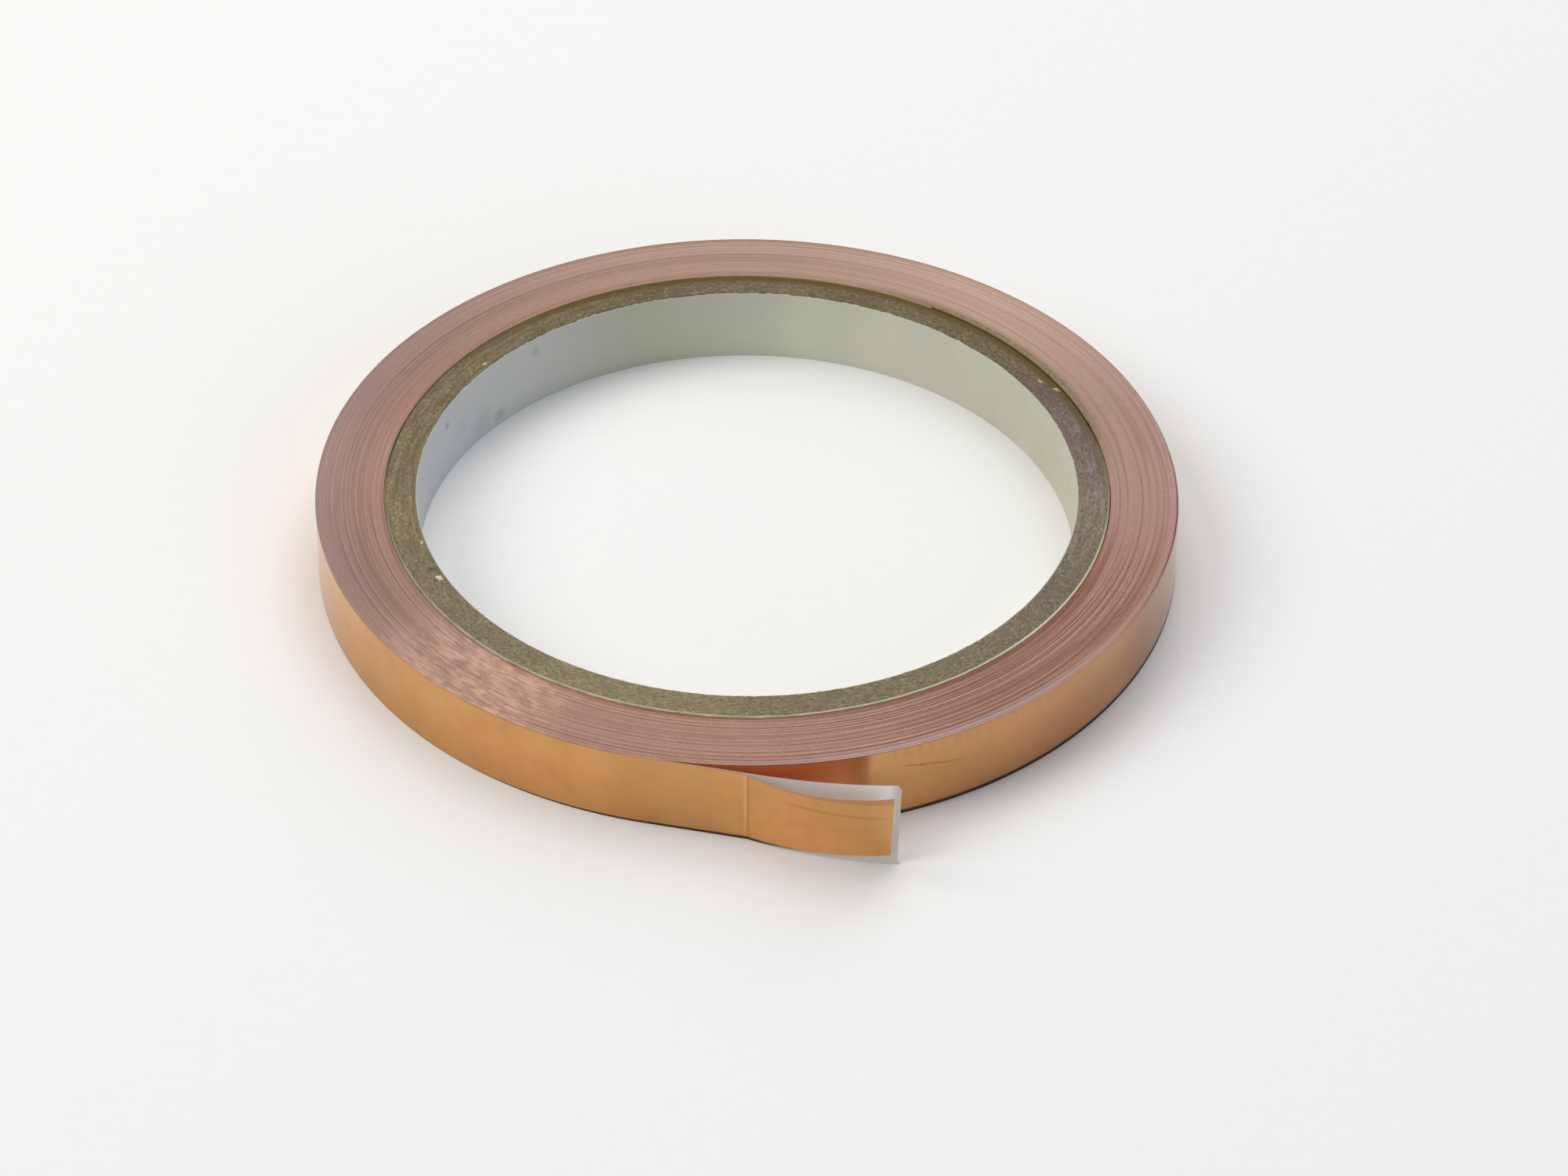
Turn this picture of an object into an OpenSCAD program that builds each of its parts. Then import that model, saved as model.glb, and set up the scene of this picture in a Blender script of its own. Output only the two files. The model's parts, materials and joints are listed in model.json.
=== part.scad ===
// Roll of copper foil tape on a paper tube, with its loose end partly unwound.
// The roll's axis is Z, and its lower face rests on the plane z = 0.
// The tape winds outwards anticlockwise, seen from above.

/* [Core] */
// Diameter of the hole through the core
bore_d = 76.2; // [50:0.1:80]
// Thickness of the white paper that lines the hole
inner_paper_t = 0.15; // [0.1:0.01:0.3]
// Number of chipboard plies in the tube
ply_count = 8; // [4:1:10]
// Thickness of one chipboard ply
ply_t = 0.41; // [0.3:0.01:0.6]
// Thickness of the white paper round the outside of the tube
outer_wrap_t = 0.25; // [0.1:0.01:0.4]
// Thickness of the glue film between two layers of the core or of the tape
film_t = 0.003; // [0.002:0.001:0.005]

/* [Tape] */
// Width of the tape, which is the height of the roll
tape_w = 9.5; // [4:0.1:13]
// Turns of tape on the core
turns = 66; // [20:1:80]
// Thickness of the copper foil
foil_t = 0.032; // [0.03:0.001:0.05]
// Thickness of the adhesive
adhesive_t = 0.030; // [0.03:0.001:0.05]
// Thickness of the paper release liner
liner_t = 0.048; // [0.04:0.001:0.08]
// Angle of the first turn that has no liner and sticks to the core
stuck_start = 30; // [0:5:90]

/* [Loose end] */
// Direction, seen from the axis, in which the tape leaves the roll
lift_az = 257.4; // [200:0.1:340]
// Length of the straight stretch from the roll to the crease
root_len = 11.3; // [6:0.1:20]
// Length of the foil beyond the crease
tip_len = 16.3; // [8:0.1:20]
// Angle by which the foil stands off its liner at the crease
tip_splay = 15; // [8:1:20]
// Radius to which the foil curls beyond the crease
tip_curl_r = 38; // [30:1:60]
// Angle by which the foil beyond the crease points upwards
tip_rise = 3; // [0:0.5:4]
// Length of the liner beyond the crease
flap_len = 16.6; // [8:0.1:20]
// Radius to which the liner curls beyond the crease
flap_curl_r = 190; // [150:5:400]

/* [Hidden] */

COPPER = [0.80, 0.54, 0.33];
CHIPBOARD = [0.50, 0.45, 0.36];
WHITE_PAPER = [0.87, 0.86, 0.82];
CLEAR_ADHESIVE = [0.90, 0.86, 0.74];

bore_r = bore_d / 2;
ply_step = ply_t + film_t;
first_ply_r = bore_r + inner_paper_t + film_t;
outer_wrap_r = first_ply_r + ply_count * ply_step;
core_r = outer_wrap_r + outer_wrap_t;

// One turn of tape, from its inner side outwards: liner, adhesive, foil.
liner_in = film_t;
adhesive_in = liner_in + liner_t + film_t;
foil_in = adhesive_in + adhesive_t + film_t;
pitch = foil_in + foil_t;

// The spiral is made of half turns. Those on the -Y side have their centre
// half a pitch towards +X, so that each one ends where the next one begins.
last_sweep = lift_az - 180;
roll_r = core_r + (turns + 0.5) * pitch;

// Gap at each bend line of the loose end, so that its two sides can swing.
bend_gap = 0.05;
bend_gap_angle = bend_gap / roll_r * 180 / PI;

// Larger than the roll, for cutting the tape's ends square.
cutter = 4 * bore_d;

$fn = 180;

function ply_name(i) = str("core_ply_", i);
function arc_angle(length, r) = length / r * 180 / PI;

module ring(inner_r, t) {
    rotate_extrude()
        translate([inner_r, 0])
            square([t, tape_w]);
}

module arc_strip(inner_r, t, start, sweep) {
    rotate([0, 0, start])
        rotate_extrude(angle = sweep)
            translate([inner_r, 0])
                square([t, tape_w]);
}

// The first half turn, whose start is cut off up to the angle start.
module first_half_turn(inner_r, t, start) {
    difference() {
        arc_strip(inner_r, t, 0, 180);
        if (start > 0)
            rotate([0, 0, start])
                translate([-cutter, -cutter, -cutter / 2])
                    cube([2 * cutter, cutter, cutter]);
    }
}

// A strip wound on the core, whose inner side is inset from the turn's own.
module wound_strip(inset, t, start) {
    first_half_turn(core_r + inset, t, start);
    for (k = [1 : turns - 1])
        arc_strip(core_r + k * pitch + inset, t, 0, 180);
    for (k = [0 : turns - 1])
        translate([pitch / 2, 0, 0])
            arc_strip(
                core_r + (k + 0.5) * pitch + inset,
                t,
                180,
                k == turns - 1 ? last_sweep - bend_gap_angle : 180
            );
}

// Places its children where the tape leaves the roll, on the copper's outer
// side: +X runs along the tape and +Y points inwards.
module at_lift_off() {
    translate([pitch / 2, 0, 0])
        rotate([0, 0, lift_az])
            translate([roll_r, 0, 0])
                rotate([0, 0, 90])
                    children();
}

// Turns the depth inside a turn of tape into the distance from its copper side.
function from_copper(inset, t) = pitch - inset - t;

module straight_strip(inset, t, length) {
    at_lift_off()
        translate([bend_gap, from_copper(inset, t), 0])
            cube([length - bend_gap, t, tape_w]);
}

// A strip that curls inwards, starting along +X at the origin.
module curled_strip(inset, t, curl_r, length) {
    translate([0, curl_r, 0])
        arc_strip(curl_r - pitch + inset, t, -90, arc_angle(length, curl_r));
}

module liner_flap() {
    at_lift_off()
        translate([root_len, 0, 0])
            curled_strip(liner_in, liner_t, flap_curl_r, flap_len);
}

module tip_strip(inset, t) {
    at_lift_off()
        translate([root_len, 0, 0])
            difference() {
                rotate([0, -tip_rise, -tip_splay])
                    curled_strip(inset, t, tip_curl_r, tip_len);
                translate([bend_gap - cutter, -cutter / 2, -cutter / 2])
                    cube(cutter);
            }
}

module core_inner_paper() {
    color(WHITE_PAPER)
        ring(bore_r, inner_paper_t);
}

module core_ply(i) {
    color(CHIPBOARD)
        ring(first_ply_r + (i - 1) * ply_step, ply_t);
}

module core_outer_wrap() {
    color(WHITE_PAPER)
        ring(outer_wrap_r, outer_wrap_t);
}

module wound_liner() {
    color(WHITE_PAPER)
        wound_strip(liner_in, liner_t, stuck_start);
}

module wound_adhesive() {
    color(CLEAR_ADHESIVE)
        wound_strip(adhesive_in, adhesive_t, 0);
}

module wound_foil() {
    color(COPPER)
        wound_strip(foil_in, foil_t, 0);
}

module tail_liner() {
    color(WHITE_PAPER)
        union() {
            straight_strip(liner_in, liner_t, root_len);
            liner_flap();
        }
}

module tail_adhesive() {
    color(CLEAR_ADHESIVE)
        straight_strip(adhesive_in, adhesive_t, root_len - bend_gap);
}

module tail_foil() {
    color(COPPER)
        straight_strip(foil_in, foil_t, root_len - bend_gap);
}

module tip_adhesive() {
    color(CLEAR_ADHESIVE)
        tip_strip(adhesive_in, adhesive_t);
}

module tip_foil() {
    color(COPPER)
        tip_strip(foil_in, foil_t);
}

core_inner_paper();
for (i = [1 : ply_count]) {
    core_ply(i);
}
core_outer_wrap();
wound_liner();
wound_adhesive();
wound_foil();
tail_liner();
tail_adhesive();
tail_foil();
tip_adhesive();
tip_foil();
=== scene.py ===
"""The looks of a roll of copper foil tape, built round its CAD frame. Lengths are in metres."""

import collections
import json
import math

import bmesh
import bpy
import numpy as np
from mathutils import Matrix, Vector


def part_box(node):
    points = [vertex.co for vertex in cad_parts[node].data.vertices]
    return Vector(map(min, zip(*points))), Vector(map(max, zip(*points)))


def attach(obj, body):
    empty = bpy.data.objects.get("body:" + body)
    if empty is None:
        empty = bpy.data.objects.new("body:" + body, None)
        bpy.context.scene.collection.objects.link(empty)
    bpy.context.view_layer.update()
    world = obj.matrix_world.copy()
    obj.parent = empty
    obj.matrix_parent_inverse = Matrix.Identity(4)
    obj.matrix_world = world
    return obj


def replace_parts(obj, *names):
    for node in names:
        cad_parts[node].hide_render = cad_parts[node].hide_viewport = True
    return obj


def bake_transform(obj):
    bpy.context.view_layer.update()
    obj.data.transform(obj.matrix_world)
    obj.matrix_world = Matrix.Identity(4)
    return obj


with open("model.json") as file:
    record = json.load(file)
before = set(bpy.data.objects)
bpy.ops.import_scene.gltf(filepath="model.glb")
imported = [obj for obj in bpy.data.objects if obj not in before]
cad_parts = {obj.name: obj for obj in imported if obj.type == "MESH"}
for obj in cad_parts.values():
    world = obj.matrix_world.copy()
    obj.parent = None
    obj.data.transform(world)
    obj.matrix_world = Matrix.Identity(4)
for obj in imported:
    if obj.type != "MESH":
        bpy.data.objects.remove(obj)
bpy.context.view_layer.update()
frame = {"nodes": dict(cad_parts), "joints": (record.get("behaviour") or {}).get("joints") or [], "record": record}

MM = 0.001

# ---- sizes taken from the frame

record = frame["record"]
joints = {joint["name"]: joint for joint in frame["joints"]}
ply_names = sorted(name for name in frame["nodes"] if name.startswith("core_ply_"))


def outer_radius(node):
    """The outer radius of a ring-shaped CAD node, which is centred on the roll's axis."""
    low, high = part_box(node)
    return (high.x - low.x) / 2


bore_r = next(m["dims"]["r_mm"] for m in record["mounts"] if m["name"] == "core_bore") * MM
core_r = outer_radius("core_outer_wrap")
tape_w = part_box("wound_foil")[1].z

lift_point = Vector(joints["tail_lift"]["pos_m"])
crease_point = Vector(joints["foil_peel"]["pos_m"])
roll_r = lift_point.length
lift_angle = math.atan2(lift_point.y, lift_point.x) % math.tau
heading = (crease_point - lift_point).normalized()
outward = heading.cross(Vector((0, 0, 1)))
root_len = (crease_point - lift_point).length

# One turn of tape, from its inner side outwards.
FILM = 0.003 * MM
LINER_T = 0.048 * MM
ADHESIVE_T = 0.030 * MM
FOIL_T = 0.032 * MM
LINER_IN = FILM
ADHESIVE_IN = LINER_IN + LINER_T + FILM
FOIL_IN = ADHESIVE_IN + ADHESIVE_T + FILM
NOMINAL_PITCH = FOIL_IN + FOIL_T

# The spiral ends at the lift-off with its copper side on the hinge.
end_fraction = lift_angle / math.tau
whole_turns = round((roll_r - core_r) / NOMINAL_PITCH - end_fraction - 1)
end_turn = whole_turns + end_fraction
pitch = (roll_r - core_r) / (end_turn + 1)

# The last stretch of tape is one piece with the loose end. It is under half a turn long, so that
# all of it lies behind the hinge. The turn below it, which shows too, is as finely divided.
LOOSE_TURNS = 0.47
loose_turn = end_turn - LOOSE_TURNS
fine_turn = loose_turn - 1
COARSE_STEP = 1 / 144
FINE_STEP = 1 / 720


def unrolled(turns):
    """The length of tape from the spiral's start to that many turns."""
    return math.tau * (core_r * turns + pitch * turns * turns / 2)


def visible_along(direction):
    """The length of tape up to where it shows on the roll's side in that direction, in degrees."""
    turn = whole_turns + direction / 360
    return unrolled(turn if turn <= end_turn else turn - 1)


# ---- noise for shapes

NOISE_CELLS = 256


def value_noise(x, y, seed):
    """Smooth noise from -1 to 1, one value per unit cell of the plane."""
    table = np.random.default_rng(seed).uniform(-1, 1, (NOISE_CELLS, NOISE_CELLS))
    x, y = np.broadcast_arrays(np.asarray(x, float), np.asarray(y, float))
    column, row = np.floor(x).astype(int), np.floor(y).astype(int)
    fx, fy = x - column, y - row
    fx, fy = fx * fx * (3 - 2 * fx), fy * fy * (3 - 2 * fy)

    def corner(dx, dy):
        return table[(column + dx) % NOISE_CELLS, (row + dy) % NOISE_CELLS]

    low = corner(0, 0) * (1 - fx) + corner(1, 0) * fx
    high = corner(0, 1) * (1 - fx) + corner(1, 1) * fx
    return low * (1 - fy) + high * fy


# ---- meshes


# Edges that bend by more than this are shaded as sharp.
SHARP_ANGLE = math.radians(40)


def placed(name, data):
    """A new object in the scene."""
    made = bpy.data.objects.new(name, data)
    bpy.context.scene.collection.objects.link(made)
    return made


def make_piece(name, vertices, faces, materials, face_materials=None, uvs=None):
    """A mesh object with smooth shading."""
    mesh = bpy.data.meshes.new(name)
    mesh.from_pydata(vertices.tolist(), [], faces.tolist())
    for material in materials:
        mesh.materials.append(material)
    if face_materials is not None:
        mesh.polygons.foreach_set("material_index", face_materials)
    if uvs is not None:
        loops = np.empty(len(mesh.loops), np.int32)
        mesh.loops.foreach_get("vertex_index", loops)
        layer = mesh.uv_layers.new(name="tape")
        layer.data.foreach_set("uv", uvs[loops].astype(np.float32).ravel())
    mesh.polygons.foreach_set("use_smooth", np.ones(len(mesh.polygons), bool))
    mesh.validate()
    mesh.set_sharp_from_angle(angle=SHARP_ANGLE)
    return placed(name, mesh)


def grid_faces(first, rows, columns):
    """Quads of a rows by columns grid of vertices, numbered row by row from first."""
    row, column = np.meshgrid(np.arange(rows - 1), np.arange(columns - 1), indexing="ij")
    corner = (first + row * columns + column).ravel()
    return np.stack([corner, corner + columns, corner + columns + 1, corner + 1], axis=1)


def strip_piece(name, outer, inner, uvs, looks):
    """A closed strip between two walls, each given as stations by heights of points.

    Its looks are the materials of the outer wall, the edges and the inner wall.
    """
    stations, heights = outer.shape[:2]
    count = stations * heights
    outer_wall = grid_faces(0, stations, heights)
    inner_wall = grid_faces(count, stations, heights)[:, ::-1]
    along = np.arange(stations - 1) * heights
    up = np.arange(heights - 1)
    bottom = np.stack([along, along + count, along + count + heights, along + heights], axis=1)
    top = bottom[:, ::-1] + heights - 1
    start = np.stack([up, up + 1, up + 1 + count, up + count], axis=1)
    end = start[:, ::-1] + count - heights
    edges = np.concatenate([bottom, top, start, end])
    vertices = np.concatenate([outer.reshape(-1, 3), inner.reshape(-1, 3)])
    parts = [outer_wall, edges, inner_wall]
    face_looks = np.concatenate([np.full(len(part), look, np.int32) for look, part in enumerate(parts)])
    both_uvs = np.concatenate([uvs.reshape(-1, 2)] * 2)
    return make_piece(name, vertices, np.concatenate(parts), looks, face_looks, both_uvs)


def ring_piece(name, radii, heights, stations, shape, material):
    """A closed ring swept from a loop of profile points, which shape(r, angle, z) may move."""
    angle = np.linspace(0, math.tau, stations, endpoint=False)[:, None]
    r, z = shape(np.asarray(radii)[None, :], angle, np.asarray(heights)[None, :])
    x, y = r * np.cos(angle), r * np.sin(angle)
    vertices = np.stack([x, y, np.broadcast_to(z, x.shape)], axis=2).reshape(-1, 3)
    points = len(radii)
    station, point = np.meshgrid(np.arange(stations), np.arange(points), indexing="ij")
    ahead, beside = (station + 1) % stations, (point + 1) % points
    corners = [(station, point), (ahead, point), (ahead, beside), (station, beside)]
    faces = np.stack([(s * points + p).ravel() for s, p in corners], axis=1)
    return make_piece(name, vertices, faces, [material])


# ---- material helpers

# Most of Blender's noise lies between these two values.
NOISE_LOW, NOISE_HIGH = 0.3, 0.7
# How a scratch fades: across its width and towards its ends, as shares of its width and length.
SCRATCH_CORE = 0.2
SCRATCH_FULL, SCRATCH_END = 0.35, 0.5
SCRATCH_WAVER = 0.4 * MM


class Shader:
    """A material's node tree, with short calls for the nodes that the materials share."""

    def __init__(self, name, **settings):
        self.material = bpy.data.materials.new(name)
        self.material.use_nodes = True
        self.tree = self.material.node_tree
        self.surface = self.tree.nodes["Principled BSDF"]
        for socket, value in settings.items():
            self.surface.inputs[socket.replace("_", " ")].default_value = value

    def node(self, kind, **settings):
        made = self.tree.nodes.new(kind)
        for key, value in settings.items():
            setattr(made, key, value)
        return made

    def feed(self, socket, value):
        """Links a node's output to a socket, or sets the socket to a plain value or colour."""
        if isinstance(value, bpy.types.NodeSocket):
            self.tree.links.new(value, socket)
        elif socket.type == "RGBA":
            socket.default_value = (*value, 1)
        else:
            socket.default_value = value

    def math(self, operation, first, second=0.0):
        made = self.node("ShaderNodeMath", operation=operation)
        self.feed(made.inputs[0], first)
        self.feed(made.inputs[1], second)
        return made.outputs[0]

    def times(self, first, second):
        return self.math("MULTIPLY", first, second)

    def place(self):
        """The point on the surface, in the row frame."""
        return self.node("ShaderNodeTexCoord").outputs["Object"]

    def split(self, vector):
        made = self.node("ShaderNodeSeparateXYZ")
        self.feed(made.inputs[0], vector)
        return made.outputs

    def join(self, x, y, z=0.0):
        made = self.node("ShaderNodeCombineXYZ")
        for socket, value in zip(made.inputs, (x, y, z)):
            self.feed(socket, value)
        return made.outputs[0]

    def angle(self):
        """The surface point's direction from the axis."""
        x, y, _ = self.split(self.place())
        return self.math("ARCTAN2", y, x)

    def radius(self):
        """The surface point's distance from the axis."""
        x, y, _ = self.split(self.place())
        return self.math("SQRT", self.math("ADD", self.times(x, x), self.times(y, y)))

    def grain(self, along, across, size, detail=2.0, roughness=0.5):
        """Noise that is stretched round the axis and across it, without a seam."""
        angle = self.angle()
        reach = core_r * along
        vector = self.join(
            self.times(self.math("COSINE", angle), reach),
            self.times(self.math("SINE", angle), reach),
            self.times(self.radius(), across),
        )
        return self.noise(vector, size, detail, roughness)

    def tape(self):
        """The surface point as (way along the tape, height on the tape)."""
        along, height, _ = self.split(self.node("ShaderNodeUVMap", uv_map="tape").outputs[0])
        return along, height

    def noise(self, vector, size, detail=2.0, roughness=0.5):
        """Noise from 0 to 1 whose lumps are about that size, in metres."""
        made = self.node("ShaderNodeTexNoise")
        self.feed(made.inputs["Vector"], vector)
        self.feed(made.inputs["Scale"], 1 / size)
        self.feed(made.inputs["Detail"], detail)
        self.feed(made.inputs["Roughness"], roughness)
        return made.outputs["Fac"]

    def tape_noise(self, size, detail=2.0, roughness=0.5, stretch=(1, 1)):
        """Noise along and across the tape, with a grain where it is stretched."""
        parts = (self.times(part, scale) for part, scale in zip(self.tape(), stretch))
        return self.noise(self.join(*parts), size, detail, roughness)

    def levels(self, value, low, high, to_low=0.0, to_high=1.0):
        """Maps the range low to high onto another one, without going past its ends."""
        made = self.node("ShaderNodeMapRange", clamp=True)
        for socket, setting in zip(made.inputs, (value, low, high, to_low, to_high)):
            self.feed(socket, setting)
        return made.outputs["Result"]

    def spread(self, noise, to_low=0.0, to_high=1.0):
        """Maps noise onto a range, which most of it then fills."""
        return self.levels(noise, NOISE_LOW, NOISE_HIGH, to_low, to_high)

    def beyond(self, edge, low_mm, high_mm, to_low=0.0, to_high=1.0):
        """Maps the distance out from a circle of radius edge onto a range."""
        low, high = edge + low_mm * MM, edge + high_mm * MM
        return self.levels(self.radius(), low, high, to_low, to_high)

    def near(self, value, middle, inner, outer):
        """1 within inner of the middle, down to 0 at outer."""
        away = self.math("ABSOLUTE", self.math("SUBTRACT", value, middle))
        return self.levels(away, inner, outer, 1, 0)

    def facing(self, direction, low, high):
        """From 0 to 1 with the cosine of the angle between that direction and the point's own."""
        angle = self.math("SUBTRACT", self.angle(), math.radians(direction))
        return self.levels(self.math("COSINE", angle), low, high)

    def spot(self, direction, distance_mm, z, size_mm):
        """A ragged spot round a point, from 1 in its middle to 0."""
        angle = math.radians(direction)
        across = distance_mm * MM
        away = self.node("ShaderNodeVectorMath", operation="DISTANCE")
        self.feed(away.inputs[0], self.place())
        away.inputs[1].default_value = (across * math.cos(angle), across * math.sin(angle), z)
        ragged = self.spread(self.noise(self.place(), 0.9 * MM, 4, 0.7), 0.5, 1.5)
        reach = self.times(ragged, size_mm * MM)
        return self.levels(self.math("DIVIDE", away.outputs["Value"], reach), 0.2, 1.0, 1, 0)

    def line(self, start, end, width):
        """A wavering scratch between two points of the tape, from 1 along its middle to 0."""
        along, height = self.tape()
        length = end[0] - start[0]
        way = self.math("DIVIDE", self.math("SUBTRACT", along, start[0]), length)
        level = self.math("ADD", self.times(way, end[1] - start[1]), start[1])
        waver = self.times(self.noise(self.join(along, 0.0), 2.5 * MM, 1), SCRATCH_WAVER)
        away = self.math("SUBTRACT", self.math("SUBTRACT", height, level), waver)
        centred = self.math("ADD", away, SCRATCH_WAVER / 2)
        across = self.near(centred, 0.0, SCRATCH_CORE * width, width)
        within = self.near(way, 0.5, SCRATCH_FULL, SCRATCH_END)
        return self.times(across, within)

    def mix(self, share, first, second, blend="MIX"):
        made = self.node("ShaderNodeMix", data_type="RGBA", blend_type=blend)
        self.feed(made.inputs["Factor"], share)
        self.feed(made.inputs["A"], first)
        self.feed(made.inputs["B"], second)
        return made.outputs["Result"]

    def paint(self, colour, cover, *shares):
        """Covers a colour with another one, as far as the product of the shares."""
        share = shares[0]
        for other in shares[1:]:
            share = self.times(share, other)
        return self.mix(share, colour, cover)

    def colour(self, value):
        self.feed(self.surface.inputs["Base Color"], value)

    def rough(self, value):
        self.feed(self.surface.inputs["Roughness"], value)

    def groove(self, amount):
        """Stretches the gloss across the wound turns, as it is on anything with round grooves."""
        self.surface.inputs["Anisotropic"].default_value = amount
        self.surface.inputs["Anisotropic Rotation"].default_value = 0.25
        made = self.node("ShaderNodeTangent", direction_type="RADIAL", axis="Z")
        self.feed(self.surface.inputs["Tangent"], made.outputs[0])

    def bump(self, height, depth):
        """Raises the surface by height, from 0 to 1, times depth in metres."""
        made = self.node("ShaderNodeBump")
        self.feed(made.inputs["Strength"], 1.0)
        self.feed(made.inputs["Distance"], depth)
        self.feed(made.inputs["Height"], height)
        self.feed(self.surface.inputs["Normal"], made.outputs[0])


# ---- materials

COPPER = (0.640, 0.320, 0.114)
COPPER_PALE = (0.685, 0.362, 0.145)
COPPER_RIGHT_SHADE = (0.545, 0.285, 0.135)
COPPER_DEEP = (0.50, 0.22, 0.080)
COPPER_TAIL_REFLECTION = (0.90, 0.48, 0.23)
COPPER_TAIL_REFLECTION_DARK = (0.48, 0.225, 0.10)
SCRATCH = (0.33, 0.155, 0.055)
SPOT = (0.16, 0.08, 0.035)
CREASE_GLINT = (0.86, 0.56, 0.25)
CONTACT_SHADE = (0.060, 0.032, 0.030)
TOP_RIM_SHADE = (0.22, 0.11, 0.11)
# Painted light: tints that brighten the copper's colour low on its right side, and low on the peeled tip.
LOW_RIGHT_PAINTED_LIGHT = (1.24, 1.20, 1.20)
LOW_TIP_PAINTED_LIGHT = (1.08, 1.08, 1.07)

# Marks on the copper: where they start and end, as direction in degrees and height in mm.
ROLL_SCRATCH = ((289.6, 6.9), (298.9, 5.3))
ROLL_SPOT = ((292.5, 6.35), (292.9, 6.35))
# On the peeled tip, as distance from the crease and height in mm.
TIP_SCRATCH = ((4.0, 7.55), (16.0, 7.05))
# The stretch of the outer turn that the loose end has just come off, in degrees. Between the tail and the roll its
# colour is painted reflection of the tail's back, darker brown towards the wedge's open end.
WEDGE_START, WEDGE_END = 259, 285.7

# Painted light and shade: tints that multiply a material's colour, making it lighter or darker by
# direction round the axis. Each gives the direction from the axis in degrees, the cosines between
# which the tint comes in, and its colour.
FOIL_LIGHT_TINTS = (
    (-160, 0.90, 0.99, (1.0, 0.99, 0.82)),
    (-100, 0.988, 0.999, (0.90, 0.91, 0.93)),
    (-66, 0.975, 0.995, (0.89, 0.92, 0.97)),
    (-22, 0.980, 0.998, (0.80, 0.75, 0.83)),
    (-3, 0.970, 0.995, (1.0, 1.0, 1.14)),
)
EDGE_LIGHT_TINTS = (
    (165, 0.60, 0.95, (0.92, 0.915, 0.945)),
    (-133, 0.75, 0.95, (0.80, 0.745, 0.69)),
    (-95, 0.92, 0.99, (0.94, 0.91, 0.84)),
    (-70, 0.85, 0.97, (0.89, 0.90, 0.895)),
    (3, 0.80, 0.97, (0.85, 0.82, 0.96)),
)
BOARD_LIGHT_TINTS = (
    (-175, 0.95, 0.99, (1.12, 1.10, 1.12)),
    (-106, 0.93, 0.99, (1.16, 1.13, 1.09)),
    (-50, 0.70, 0.95, (0.95, 0.93, 0.95)),
    (-24, 0.975, 0.997, (0.92, 0.92, 0.91)),
    (-5, 0.60, 0.95, (0.95, 0.95, 1.18)),
    (18, 0.93, 0.99, (0.96, 0.94, 1.10)),
    (65, 0.30, 0.85, (0.74, 0.67, 0.64)),
    (92, 0.96, 0.995, (1.15, 1.17, 1.30)),
)

# Where thin pale lines and uneven brown lines show on the wound edges: direction in degrees, the
# cosines between which they come in, and their strength.
PALE_LINES = (
    (180, 0.1, 0.8, 0.22),
    (-84, 0.82, 0.97, 0.25),
)
UNEVEN_LINES = (
    (-8, 0.80, 0.95, 0.55),
    (-40, 0.86, 0.97, 0.45),
    (24, 0.82, 0.95, 0.22),
    (-156, 0.87, 0.97, 0.30),
)


def tinted(look, colour, tints):
    """Multiplies the colour by each tint, where the table says: painted light and shade."""
    for direction, low, high, tint in tints:
        colour = look.mix(look.facing(direction, low, high), colour, tint, "MULTIPLY")
    return colour


def lined(look, colour, lines, places, line_colour):
    """Draws one set of lines over the colour, where and as strongly as the table says."""
    for direction, low, high, strength in places:
        share = look.times(look.facing(direction, low, high), strength)
        colour = look.paint(colour, line_colour, lines, share)
    return colour


def roll_mark(look, mark, width):
    """A line between two points of the roll's side, each a direction and a height in mm."""
    start, end = ((visible_along(direction), z_mm * MM) for direction, z_mm in mark)
    return look.line(start, end, width)


def tip_mark(look, mark, width):
    """A line between two points of the tip, each a distance from the crease and a height in mm."""
    crease = unrolled(end_turn) + root_len
    start, end = ((crease + x_mm * MM, z_mm * MM) for x_mm, z_mm in mark)
    return look.line(start, end, width)


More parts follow.
